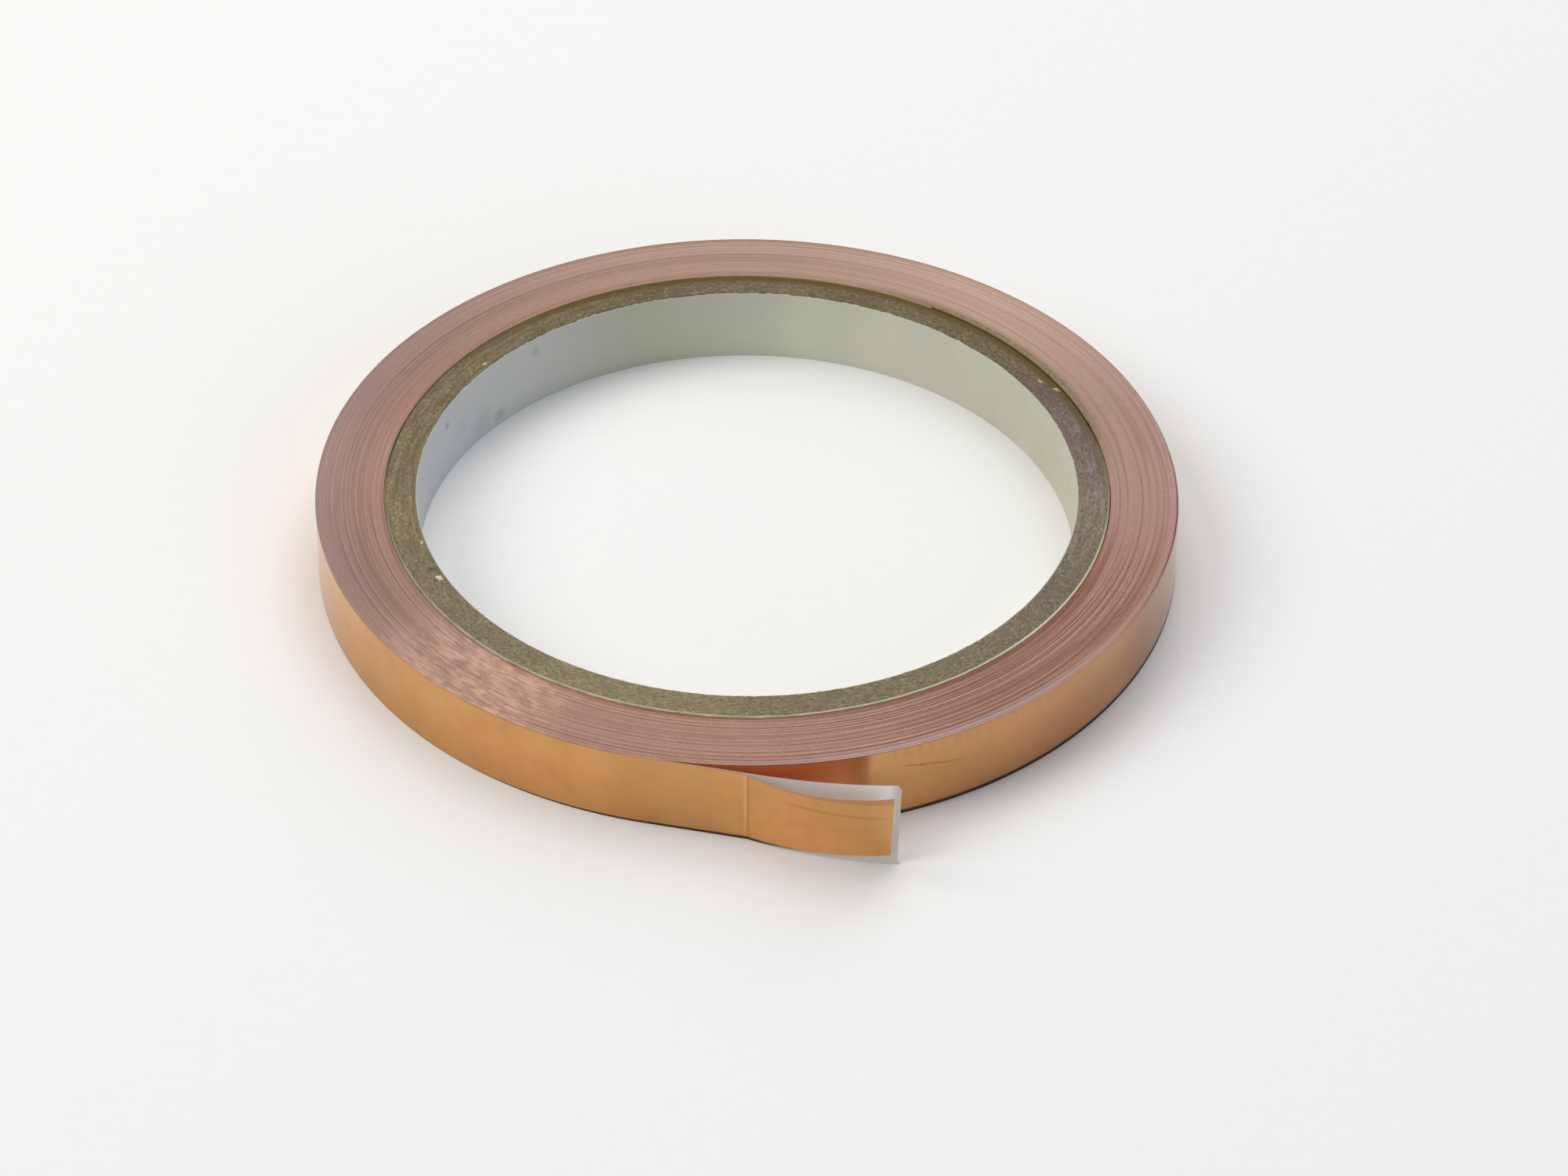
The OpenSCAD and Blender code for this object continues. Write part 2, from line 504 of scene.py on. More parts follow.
def copper_face():
    """Satin rolled copper: soft mottling, a few scratches and dull edges, with painted light and shade: a
    highlight at the crease, the tail's reflection beside it, shade along its edges and tints round the roll.
    """
    look = Shader("copper_foil_face", Metallic=1.0)
    along, height = look.tape()
    mottle = look.tape_noise(6.0 * MM, 3, 0.55)
    fine = look.tape_noise(0.30 * MM, 2)
    colour = look.mix(look.spread(mottle), COPPER, COPPER_PALE)
    # Painted shade: the copper's right side is darker and pinker.
    colour = look.paint(colour, COPPER_RIGHT_SHADE, look.facing(-30, 0.76, 0.97))
    colour = tinted(look, colour, FOIL_LIGHT_TINTS)
    # Painted light: the copper is brighter low on its right side.
    low = look.levels(height, 0.8 * MM, 5.0 * MM, 1, 0)
    low_right = look.times(low, look.facing(-50, 0.7, 0.95))
    colour = look.mix(low_right, colour, LOW_RIGHT_PAINTED_LIGHT, "MULTIPLY")

    worn = look.tape_noise(3.2 * MM, 4, 0.6)
    colour = look.paint(colour, COPPER_DEEP, look.levels(worn, 0.52, 0.75, 0, 0.35))
    # Painted reflection of the tail's back in the copper between the tail and the roll: bright orange, going
    # darker brown near the wedge's open end.
    uncovered = look.levels(along, visible_along(WEDGE_START), visible_along(WEDGE_START + 2))
    wedge_end_span = visible_along(WEDGE_END - 0.4), visible_along(WEDGE_END + 0.4)
    covered = look.levels(along, *wedge_end_span, 1, 0)
    wedge_mask = look.times(uncovered, covered)
    open_end = look.levels(along, visible_along(WEDGE_END - 4.2), visible_along(WEDGE_END - 1.2))
    colour = look.paint(colour, look.mix(open_end, COPPER_TAIL_REFLECTION, COPPER_TAIL_REFLECTION_DARK), wedge_mask)

    crease = unrolled(end_turn) + root_len
    # Painted light: the peeled tip is brighter below its top.
    below_top = look.levels(height, 4.5 * MM, 7.5 * MM, 1, 0)
    low_tip = look.times(below_top, look.levels(along, crease, crease + 0.6 * MM))
    colour = look.mix(low_tip, colour, LOW_TIP_PAINTED_LIGHT, "MULTIPLY")
    # Painted highlight along the crease, and painted shade just beyond it.
    pale_band = look.near(along, crease - 0.20 * MM, 0.05 * MM, 0.26 * MM)
    dark_band = look.near(along, crease + 0.16 * MM, 0.03 * MM, 0.20 * MM)
    colour = look.paint(colour, CREASE_GLINT, pale_band, 0.30)
    colour = look.paint(colour, COPPER_DEEP, dark_band, 0.4)

    roll_line = roll_mark(look, ROLL_SCRATCH, 0.20 * MM)
    tip_line = tip_mark(look, TIP_SCRATCH, 0.32 * MM)
    spot = roll_mark(look, ROLL_SPOT, 0.13 * MM)
    colour = look.paint(colour, SCRATCH, roll_line, 0.6)
    colour = look.paint(colour, COPPER_DEEP, tip_line, 0.6)
    colour = look.paint(colour, SPOT, spot, 0.9)

    ticks = look.tape_noise(0.42 * MM, 1, stretch=(1.0, 0.12))
    near_top = look.levels(height, 6.8 * MM, 9.0 * MM)
    scuffed = look.times(near_top, look.facing(-58, 0.93, 0.99))
    combed = look.times(look.levels(ticks, 0.50, 0.66, 0, 0.55), scuffed)
    colour = look.paint(colour, COPPER_DEEP, combed)

    # Painted shade along the bottom edge, where the copper meets the floor, widest on the right.
    band = look.levels(look.facing(-48, 0.2, 0.95), 0, 1, 0.13 * MM, 0.58 * MM)
    low_edge = look.levels(look.math("DIVIDE", height, band), 0.65, 1.15, 0.95, 0)
    # Painted shade along the outer turn's top edge, weaker near the loose end.
    top_edge = look.levels(height, tape_w - 0.30 * MM, tape_w - 0.17 * MM, 0, 0.8)
    wound = look.levels(along, unrolled(end_turn) - 4 * MM, unrolled(end_turn), 1, 0.35)
    top_edge = look.times(top_edge, wound)
    colour = look.paint(colour, CONTACT_SHADE, low_edge)
    look.colour(look.paint(colour, TOP_RIM_SHADE, top_edge))
    rough = look.levels(look.math("ADD", mottle, fine), 0.6, 1.4, 0.11, 0.18)
    rough = look.math("MAXIMUM", rough, look.levels(low_edge, 0, 1, 0.1, 0.6))
    look.rough(look.math("MAXIMUM", rough, look.times(wedge_mask, 0.30)))
    look.bump(look.math("ADD", look.times(fine, 0.4), pale_band), 0.006 * MM)
    return look.material


def front_highlight(look):
    """Painted highlight on the wound edges at the front left, in streaky patches, from 0 to 1."""
    patches = look.grain(0.7, 0.9, 1.2 * MM, 4, 0.65)
    threads = look.grain(0.30, 2.6, 0.50 * MM, 2)
    mixed = look.math("ADD", patches, look.times(threads, 0.75))
    on_front = look.facing(-131, 0.955, 0.992)
    return look.times(look.levels(mixed, 0.80, 1.01, 0, 0.85), on_front)


LINE_SPACING = 0.60 * MM


def turn_lines(look):
    """Three sets of lines along the turns, from 0 to 1: dark ones, thin ones and uneven ones."""
    radius = look.radius()
    drift = look.times(look.grain(0.025, 1.0, 1.4 * MM, 1), 14.0)
    phase = look.math("ADD", look.times(radius, math.tau / LINE_SPACING), drift)
    wave = look.math("SINE", phase)
    weight = look.levels(look.grain(0.03, 1.0, 0.5 * MM, 2), 0.34, 0.54, 0.25, 1)
    faint = look.levels(look.facing(-110, -1.0, 0.2), 0, 1, 0.08, 0.22)
    contrast = look.math("MAXIMUM", faint, look.facing(-48, 0.72, 0.93))
    outermost = look.beyond(roll_r, -1.5, -0.9, 1, 0.2)
    contrast = look.times(contrast, outermost)
    dark = look.times(look.times(look.levels(wave, -0.4, 0.5), weight), contrast)
    thin = look.times(look.levels(wave, -0.60, -0.95), weight)
    uneven = look.levels(look.grain(0.010, 1.0, 0.42 * MM, 0), 0.54, 0.62)
    return dark, thin, uneven


EDGE_GROOVE = 0.78
FIRST_TURN = (0.52, 0.17, 0.075)
DARK_LINE = (0.27, 0.090, 0.036)
PALE_LINE = (0.66, 0.50, 0.50)
BROWN_LINE = (0.28, 0.115, 0.06)
GLUE_STAIN = (0.27, 0.20, 0.10)
LILAC_HAZE = (0.51, 0.395, 0.42)
TAN_BAND = (0.43, 0.29, 0.20)
SALMON_BAND = (0.62, 0.34, 0.26)
BACK_SHEEN = (0.76, 0.63, 0.52)


def wound_edge(look, colour, highlight_colour):
    """Tints one layer's wound edge: red by the core, with painted light and shade round the roll, a painted sheen
    at the back, and painted glints and highlight at the front.
    """
    look.groove(EDGE_GROOVE)
    left = look.facing(165, 0.4, 0.9)
    colour = tinted(look, colour, EDGE_LIGHT_TINTS)
    outer_part = look.beyond(core_r, 3.5, 6.5, 0.15, 0.34)
    colour = look.paint(colour, LILAC_HAZE, left, outer_part)
    middle_part = look.near(look.radius(), core_r + 3.9 * MM, 0.5 * MM, 1.9 * MM)
    middle_part = look.times(middle_part, 0.22)
    colour = look.paint(colour, TAN_BAND, left, middle_part)
    inner_part = look.beyond(core_r, 0.8, 2.6, 0.45, 0)
    colour = look.paint(colour, SALMON_BAND, left, inner_part)
    dark, thin, uneven = turn_lines(look)
    colour = look.paint(colour, DARK_LINE, dark, 0.75)
    colour = lined(look, colour, thin, PALE_LINES, PALE_LINE)
    colour = lined(look, colour, uneven, UNEVEN_LINES, BROWN_LINE)
    # Painted glints at the front.
    glitter = look.grain(1.0, 1.5, 0.32 * MM, 3, 0.7)
    glints = look.levels(glitter, 0.54, 0.74, 0, 0.6)
    colour = look.paint(colour, highlight_colour, glints, look.facing(-108, 0.5, 0.95))
    by_core = look.beyond(core_r, 0.16, 0.36, 0.8, 0)
    colour = look.paint(colour, FIRST_TURN, by_core, look.facing(-70, 0.2, 0.6))
    # Painted sheen: the wound edges are paler at the back.
    colour = look.paint(colour, BACK_SHEEN, look.facing(72, 0.0, 0.95), 0.45)
    first_turns = look.beyond(core_r, 0.3, 1.7, 0.8, 0)
    colour = look.paint(colour, GLUE_STAIN, first_turns, look.facing(38, 0.82, 0.96))
    last_turns = look.beyond(roll_r, -1.3, -0.9, 0, 0.4)
    colour = look.paint(colour, LILAC_HAZE, last_turns, look.facing(-62, 0.85, 0.97))
    return look.paint(colour, highlight_colour, front_highlight(look))


def copper_edge():
    """The slit edge of the foil, dull and pinkish, with small bright burrs."""
    look = Shader("copper_foil_edge", Metallic=0.9)
    burrs = look.grain(1.0, 3.0, 0.42 * MM, 2)
    colour = wound_edge(look, (0.52, 0.24, 0.15), (0.82, 0.48, 0.33))
    look.colour(look.paint(colour, (0.95, 0.66, 0.50), look.levels(burrs, 0.70, 0.80, 0, 0.85)))
    look.rough(look.spread(burrs, 0.50, 0.36))
    look.bump(burrs, 0.01 * MM)
    return look.material


def liner_face():
    """Smooth white backing paper, with a trace of fibre and a faint sheen."""
    look = Shader("release_liner_face", Specular_IOR_Level=0.4)
    along, height = look.tape()
    cloud = look.tape_noise(3.0 * MM, 3)
    fibre = look.tape_noise(0.25 * MM, 3, stretch=(0.5, 1.4))
    colour = look.mix(look.spread(cloud), (0.905, 0.915, 0.96), (0.945, 0.955, 0.99))
    crease = unrolled(end_turn) + root_len
    # Darker and creamier near the paper's end and along its bottom edge; along the bottom edge this is painted
    # shade.
    by_end = look.levels(along, crease + 15.2 * MM, crease + 16.1 * MM)
    by_bottom = look.levels(height, 0.8 * MM, 1.6 * MM, 1, 0)
    end_and_bottom = look.math("MAXIMUM", by_end, by_bottom)
    look.colour(look.paint(colour, (0.60, 0.56, 0.475), end_and_bottom, 0.9))
    look.rough(look.spread(fibre, 0.42, 0.55))
    look.bump(fibre, 0.004 * MM)
    return look.material


def liner_edge():
    """The slit edge of the backing paper: white fibre, pink with painted reflection of the copper beside it."""
    look = Shader("release_liner_edge", Metallic=0.3)
    fuzz = look.noise(look.place(), 0.22 * MM, 3)
    colour = look.mix(look.spread(fuzz), (0.58, 0.415, 0.365), (0.48, 0.31, 0.26))
    look.colour(wound_edge(look, colour, (0.70, 0.43, 0.31)))
    look.rough(look.spread(fuzz, 0.5, 0.65))
    return look.material


def liner_back():
    """The back of the backing paper, which lies on the copper: its copper orange is painted light reflected from
    the copper.
    """
    look = Shader("release_liner_back", Specular_IOR_Level=0.4)
    cloud = look.tape_noise(3.0 * MM, 3)
    look.colour(look.mix(look.spread(cloud), (0.80, 0.46, 0.31), (0.88, 0.54, 0.39)))
    look.rough(look.spread(cloud, 0.5, 0.6))
    return look.material


def adhesive_face():
    """Clear acrylic adhesive on the copper's inner side, a glossy amber film with flow marks."""
    look = Shader("adhesive_face", Metallic=0.7, Coat_Weight=0.4)
    flow = look.tape_noise(2.4 * MM, 1)
    look.colour(look.mix(look.spread(flow), (0.56, 0.30, 0.135), (0.64, 0.37, 0.18)))
    look.rough(look.spread(flow, 0.22, 0.38))
    look.bump(flow, 0.01 * MM)
    return look.material


def adhesive_edge():
    """The adhesive between two turns, dark with copper dust."""
    look = Shader("adhesive_edge", Specular_IOR_Level=0.5)
    flow = look.noise(look.place(), 0.5 * MM, 3)
    colour = look.mix(look.spread(flow), (0.42, 0.20, 0.13), (0.50, 0.26, 0.175))
    look.colour(wound_edge(look, colour, (0.60, 0.34, 0.23)))
    look.rough(look.spread(flow, 0.32, 0.5))
    return look.material


# Dark brown between the core and the tape at the back: a darker ply, with painted shade in the torn crevice.
CREVICE = (0.110, 0.078, 0.020)
BOARD_DARK = (0.112, 0.087, 0.042)
BOARD_PALE = (0.352, 0.299, 0.183)
BOARD_CLOUD = (0.165, 0.140, 0.085)
BROWN_STREAK = (0.104, 0.076, 0.033)
PALE_STREAK = (0.38, 0.34, 0.27)
PALE_FLECK = (0.43, 0.385, 0.255)
DARK_FLECK = (0.078, 0.060, 0.034)
PIT_SHADE = (0.085, 0.055, 0.022)
# A pit in the board, drawn as a dark spot of painted shade: direction in degrees, distance from the axis in mm,
# height, and size in mm.
PIT_SPOT = (-155.2, 39.15, tape_w, 0.75)


def chipboard():
    """Cut edge of recycled board: short fibres along the plies, with pale and dark flecks."""
    look = Shader("chipboard_cut", Specular_IOR_Level=0.2)
    fibres = look.grain(0.6, 1.2, 0.36 * MM, 5, 0.8)
    flecks = look.grain(0.8, 1.1, 0.28 * MM, 3)
    streaks = look.grain(0.08, 1.0, 0.40 * MM, 2)
    cloud = look.noise(look.place(), 2.2 * MM, 4, 0.6)
    colour = look.mix(look.levels(fibres, 0.35, 0.66), BOARD_DARK, BOARD_PALE)
    colour = look.paint(colour, BOARD_CLOUD, look.levels(cloud, 0.38, 0.62, 0, 0.5))
    brown = look.times(look.levels(streaks, 0.36, 0.66), look.facing(150, 0.1, 0.9))
    colour = look.paint(colour, BROWN_STREAK, brown, 0.62)
    paler = look.levels(streaks, 0.50, 0.62, 0, 0.35)
    colour = look.paint(colour, PALE_STREAK, paler, look.facing(0, 0.88, 0.97))
    colour = tinted(look, colour, BOARD_LIGHT_TINTS)
    # Painted shade of the pit.
    colour = look.paint(colour, PIT_SHADE, look.spot(*PIT_SPOT), 0.8)
    colour = look.paint(colour, PALE_FLECK, look.levels(flecks, 0.62, 0.69, 0, 0.55))
    colour = look.paint(colour, DARK_FLECK, look.levels(flecks, 0.38, 0.31, 0, 0.6))
    # Painted shade in the crevice by the wrap at the back, over the darker outer ply.
    by_wrap = look.beyond(core_r, -1.5, -0.7)
    look.colour(look.paint(colour, CREVICE, by_wrap, look.facing(75, 0.15, 0.7)))
    look.rough(look.levels(fibres, 0.2, 0.8, 0.80, 0.95))
    look.bump(fibres, 0.025 * MM)
    return look.material


LINING_SCUFF = (0.27, 0.27, 0.25)
# Grey scuffs on the paper inside the bore: direction in degrees, height and size across in mm, and
# strength.
SMUDGES = (
    (158.7, 6.9, 0.65, 0.7),
    (141.5, 1.5, 1.2, 0.5),
    (132.2, 7.4, 0.9, 0.45),
    (146.5, 2.6, 2.6, 0.22),
    (153.0, 4.2, 1.8, 0.15),
)


def lining_paper():
    """White paper inside the bore, faintly clouded, with a few grey scuffs, and painted shade and cool light on
    its wall.
    """
    look = Shader("core_lining_paper", Specular_IOR_Level=0.3)
    cloud = look.noise(look.place(), 7.0 * MM, 3)
    fibre = look.noise(look.place(), 0.3 * MM, 3)
    colour = look.mix(look.spread(cloud), (0.555, 0.55, 0.435), (0.605, 0.60, 0.49))
    # Painted shade towards the back left of the bore, and painted cool light on its left side.
    colour = look.paint(colour, (0.455, 0.455, 0.37), look.facing(120, 0.75, 1.0))
    colour = look.paint(colour, (0.53, 0.545, 0.555), look.facing(165, 0.60, 1.0))
    for direction, z_mm, size_mm, strength in SMUDGES:
        near = look.spot(direction, bore_r / MM, z_mm * MM, size_mm)
        colour = look.paint(colour, LINING_SCUFF, near, strength)
    cut = look.beyond(bore_r, 0.02, 0.06, 0, 0.8)
    cut_colour = look.mix(look.facing(-130, 0.8, 0.93), (0.30, 0.27, 0.21), (0.56, 0.54, 0.58))
    look.colour(look.paint(colour, cut_colour, cut))
    look.rough(look.spread(fibre, 0.55, 0.7))
    look.bump(fibre, 0.006 * MM)
    return look.material


def wrap_paper():
    """The cut edge of the thin white paper round the core: darker at the back, with painted shade in the crevice
    there.
    """
    look = Shader("core_wrap_paper", Roughness=0.85)
    dust = look.grain(0.5, 1.0, 0.9 * MM, 3)
    clean = look.mix(look.levels(dust, 0.35, 0.7), (0.50, 0.445, 0.355), (0.31, 0.265, 0.19))
    clean = look.paint(clean, (0.47, 0.43, 0.345), look.facing(-57, 0.92, 0.99))
    clean = look.paint(clean, (0.60, 0.57, 0.49), look.facing(-28, 0.92, 0.98))
    look.colour(look.paint(clean, CREVICE, look.facing(95, -0.75, 0.2)))
    look.rough(look.spread(dust, 0.8, 0.92))
    return look.material


def torn_paper():
    """Loose fibre torn off the core's papers: cream, and olive with glue at the back right."""
    look = Shader("torn_paper", Roughness=0.9)
    fibre = look.spread(look.noise(look.place(), 0.35 * MM, 4))
    cream = look.mix(fibre, (0.46, 0.41, 0.29), (0.74, 0.70, 0.58))
    olive = look.mix(fibre, (0.16, 0.115, 0.045), (0.30, 0.245, 0.145))
    glued = look.beyond(core_r, -0.2, 0, 0.65, 1)
    gold = look.mix(look.beyond(core_r, 0, 0.15), (0.27, 0.20, 0.08), olive)
    look.colour(look.paint(cream, gold, look.facing(37, 0.8, 0.9), glued))
    look.bump(fibre, 0.03 * MM)
    return look.material


def floor_paper():
    """The pale table."""
    look = Shader("floor", Roughness=0.9)
    grain = look.noise(look.place(), 2.0 * MM, 2)
    look.colour(look.mix(grain, (0.86, 0.86, 0.86), (0.88, 0.88, 0.88)))
    return look.material


foil_face = copper_face()
foil_edge = copper_edge()
paper_face = liner_face()
paper_edge = liner_edge()
paper_back = liner_back()
glue_face = adhesive_face()
glue_edge = adhesive_edge()
board = chipboard()

# ---- core

LINING_STEPS = 16
LINING_STATIONS = 720
PLY_STATIONS = 900
BOARD_ROUGHNESS = 0.022 * MM
CORE_TILT = 0.08 * MM
CORE_LOW_SIDE = math.radians(50)
LINING_SINK = 0.09 * MM


def core_sink(angle):
    """How far the core's face lies below the tape's: it was pushed in on one side."""
    return CORE_TILT * (1 + np.cos(angle - CORE_LOW_SIDE))


def rough_ends(amount, grain, seed):
    """Shapes a ring's two ends like cut board: sunk at the top and uneven at both."""

    def shape(r, angle, z):
        x, y = r * np.cos(angle) / grain, r * np.sin(angle) / grain
        bumps = value_noise(x, y, seed) + 0.6 * value_noise(x * 2.3, y * 2.3, seed + 1)
        top = z > tape_w / 2
        sunk = z - core_sink(angle) + amount * (bumps - 0.8)
        raised = z + amount * (bumps + 1.6)
        return r + 0 * angle, np.where(top, sunk, raised)

    return shape


def end_profile(inner_r, outer_r, steps):
    """A loop of profile points of a ring, with its two ends divided into steps."""
    across = np.linspace(inner_r, outer_r, steps + 1)
    radii = np.concatenate([across, across[::-1]])
    heights = np.concatenate([np.zeros(steps + 1), np.full(steps + 1, tape_w)])
    return radii, heights


# How far the wrap's cut edge stands above the board, as direction in degrees and height in mm: it
# was torn down at the back right and on the left, and stands proud at the front right.
WRAP_EDGE = (
    (0, 0.0), (8, -0.02), (18, -0.25), (50, -0.22), (65, -0.12), (140, -0.12), (170, -0.22),
    (195, 0.06), (260, 0.05), (272, 0.0), (285, 0.10), (320, 0.16), (350, 0.08), (360, 0.0),
)


def wrap_shape(r, angle, z):
    """Shapes the wrap's ends like paper that was cut, torn and pushed about."""
    plain = rough_ends(0.03 * MM, 0.6 * MM, 51)
    same_r, level = plain(r, angle, z)
    directions, levels_mm = zip(*WRAP_EDGE)
    lift = np.interp(np.degrees(angle), directions, levels_mm) * MM
    return same_r, np.where(z > tape_w / 2, level + lift, level)


def make_core():
    inner = outer_radius("core_inner_paper")
    wall_heights = np.linspace(tape_w, 0, LINING_STEPS + 1)[:-1]
    lining_radii = np.concatenate([[bore_r, inner], [inner], np.full(LINING_STEPS, bore_r)])
    lining_heights = np.concatenate([[0, 0], [tape_w], wall_heights])

    def lining_shape(r, angle, z):
        coarse = 0.07 * MM * value_noise(angle * 90, 0.5, 11)
        fuzz = coarse + 0.05 * MM * value_noise(angle * 260, 0.5, 12)
        waves = 0.012 * MM * value_noise(angle * 9, z / (4 * MM), 13)
        level = z / tape_w
        lowered = z - (core_sink(angle) + LINING_SINK) * level + fuzz * np.where(level > 0.99, 1.0, 0.0)
        return r + np.where(r < inner, np.maximum(waves, 0), 0), lowered

    profile = (lining_radii, lining_heights)
    lining = ring_piece("core_lining", *profile, LINING_STATIONS, lining_shape, lining_paper())
    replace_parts(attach(lining, "roll"), "core_inner_paper")

    for number, node in enumerate(ply_names):
        radii, heights = end_profile(inner, outer_radius(node), 4)
        shape = rough_ends(BOARD_ROUGHNESS, 0.36 * MM, 20 + 2 * number)
        ply = ring_piece(f"board_{node}", radii, heights, PLY_STATIONS, shape, board)
        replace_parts(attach(ply, "roll"), node)
        inner = outer_radius(node)

    radii, heights = end_profile(inner, core_r, 3)
    wrap = ring_piece("core_wrap", radii, heights, PLY_STATIONS, wrap_shape, wrap_paper())
    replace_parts(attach(wrap, "roll"), "core_outer_wrap")


# ---- wound tape

KNOT_SHIFT = 0.1


def edge_heights(turn, seed, sink):
    """The heights of a strip's lower and upper edges, which wander as the tape was wound.

    Each turn was laid down a little off the last one, mostly on the front right, where the
    noise has its knots.
    """
    knots = turn + KNOT_SHIFT
    right_front = 0.25 + 0.75 * np.clip(np.cos((turn + 0.125) * math.tau), 0, 1) ** 3
    wander = 0.018 * MM * value_noise(turn * 3.1, 0.5, seed)
    calm = np.clip((end_turn - 3 - turn) / 10, 0.1, 1)
    bands = 0.035 * MM * right_front * calm * value_noise(knots * 0.4, 3.5, 71)
    steps = 0.03 * MM * right_front * calm * value_noise(knots, 7.5, 72)
    first = 0.07 * MM * np.clip(1.5 - turn, 0, 1)
    top = tape_w - 0.14 * MM - sink + wander + bands + steps + first
    bottom = 0.06 * MM + sink - 0.3 * wander
    return np.maximum(bottom, 0), top


# The outermost turn stands off the others on the right, most at its lower edge.
SLACK_MIDDLE = whole_turns - 8 / 360
SLACK_REACH = 30 / 360
SLACK_LOW, SLACK_HIGH = 0.22 * MM, 0.09 * MM


def slack(turns, share_up):
    """How far the tape stands off the turn below, for columns of turns by rows of heights."""
    near_middle = np.clip(1 - np.abs(turns - SLACK_MIDDLE) / SLACK_REACH, 0, 1)
    rise = near_middle * near_middle * (3 - 2 * near_middle)
    return rise[:, None] * (SLACK_LOW + (SLACK_HIGH - SLACK_LOW) * share_up)


def wound_points(turns, inset, heights, seed, sink, dents=0.0):
    """Points of one wall of the wound strip, as stations by heights, with their tape UVs."""
    angle = (turns * math.tau)[:, None]
    bottom, top = (edge[:, None] for edge in edge_heights(turns, seed, sink))
    share = np.linspace(0, 1, heights)[None, :]
    z = bottom + (top - bottom) * share
    along = unrolled(turns)[:, None]
    ripple = np.maximum(value_noise(along / (7 * MM), z / (4 * MM), 5), 0) * dents
    r = core_r + pitch * turns[:, None] + inset + ripple + slack(turns, share)
    points = np.stack([r * np.cos(angle), r * np.sin(angle), z], axis=2)
    uvs = np.stack([np.broadcast_to(along, z.shape), z], axis=2)
    return points, uvs


def stations(first, last, step):
    return np.linspace(first, last, max(2, round((last - first) / step) + 1))


def wound_strip(name, layer, first, last, step, heights, dents, node):
    """A stretch of one layer of the tape, wound on the roll from turn first to turn last."""
    turns = stations(first, last, step)
    depth = layer.inset + layer.thickness
    outer, uvs = wound_points(turns, depth, heights, layer.seed, layer.sink, dents)
    inner, _ = wound_points(turns, layer.inset, heights, layer.seed, layer.sink, dents)
    piece = strip_piece(name, outer, inner, uvs, layer.looks)
    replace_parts(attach(piece, "roll"), node)


FOIL_SEED, LINER_SEED = 61, 62
# A layer of the tape: how deep in a turn it starts, its thickness, the seed of its edges' wander,
# how far they are sunk below the foil's, its looks from outside to inside, and its slot.
Layer = collections.namedtuple("Layer", "inset thickness seed sink looks slot")
FOIL = Layer(FOIL_IN, FOIL_T, FOIL_SEED, 0.0, (foil_face, foil_edge, foil_face), "copper_foil")
ADHESIVE = Layer(
    ADHESIVE_IN, ADHESIVE_T, FOIL_SEED, 0.05 * MM, (glue_face, glue_edge, glue_face), "adhesive"
)
LINER = Layer(
    LINER_IN, LINER_T, LINER_SEED, 0.015 * MM, (paper_face, paper_edge, paper_back), "release_liner"
)
STUCK_START = 30 / 360
DENTS = 0.012 * MM


def make_wound_tape():
    wound_strip("wound_foil_turns", FOIL, 0, fine_turn, COARSE_STEP, 2, 0, "wound_foil")
    wound_strip("outer_foil_turn", FOIL, fine_turn, loose_turn, FINE_STEP, 12, DENTS, "wound_foil")
    wound_strip("wound_adhesive_turns", ADHESIVE, 0, loose_turn, COARSE_STEP, 2, 0, "wound_adhesive")
    wound_strip("wound_liner_turns", LINER, STUCK_START, loose_turn, COARSE_STEP, 2, 0, "wound_liner")


# ---- loose end

# Each free edge bows outwards by bow and ends end away from the line that the tape leaves along.
TIP_RISE = 1.0 * MM
TIP_LENGTHS = (15.85 * MM, 16.30 * MM)
TIP_BOWS = (0.90 * MM, 1.50 * MM)
TIP_ENDS = (0.17 * MM, 1.45 * MM)
FLAP_LENGTHS = (16.60 * MM, 16.45 * MM)
FLAP_BOWS = (0.82 * MM, 0.55 * MM)
FLAP_ENDS = (0.30 * MM, -2.05 * MM)
CREASE_LEAN = 0.25 * MM
LOOSE_HEIGHTS = 20
ROOT_STATIONS = 60
TIP_STATIONS = 70
# The turns over which dents fade out.
DENT_FADE = 0.02


def tail_place(along, away, z):
    """Row-frame points from the way along the tail, the distance outwards and the height."""
    base = np.array(lift_point)
    along, away, z = np.broadcast_arrays(along, away, z)
    plan = base + along[..., None] * np.array(heading) + away[..., None] * np.array(outward)
    plan[..., 2] = z
    return plan


def between(pair, share):
    """From the lower edge's value to the upper edge's."""
    return pair[0] + (pair[1] - pair[0]) * share


def bowed(share_along, share_up, bows, ends):
    bow = 4 * between(bows, share_up) * share_along * (1 - share_along)
    return bow + between(ends, share_up) * share_along


def root_lean(along, share_up):
    """How far the foil leans out as it nears the crease."""
    return CREASE_LEAN * share_up * (along / root_len) ** 3


def end_heights():
    """The heights of the tape's lower and upper edges where it leaves the roll."""
    return (edge[-1] for edge in edge_heights(np.array([end_turn]), FOIL_SEED, 0.0))


def root_wall(depth, leans):
    """The tail's straight stretch from the roll to the crease, at a depth behind the copper side."""
    along = np.linspace(0, root_len, ROOT_STATIONS)[1:, None]
    share_up = np.linspace(0, 1, LOOSE_HEIGHTS)[None, :]
    bottom, top = end_heights()
    z = bottom + (top - bottom) * share_up
    away = (root_lean(along, share_up) if leans else 0) - depth
    points = tail_place(along, away, z)
    uvs = np.stack(np.broadcast_arrays(unrolled(end_turn) + along, z), axis=2)
    return points, uvs


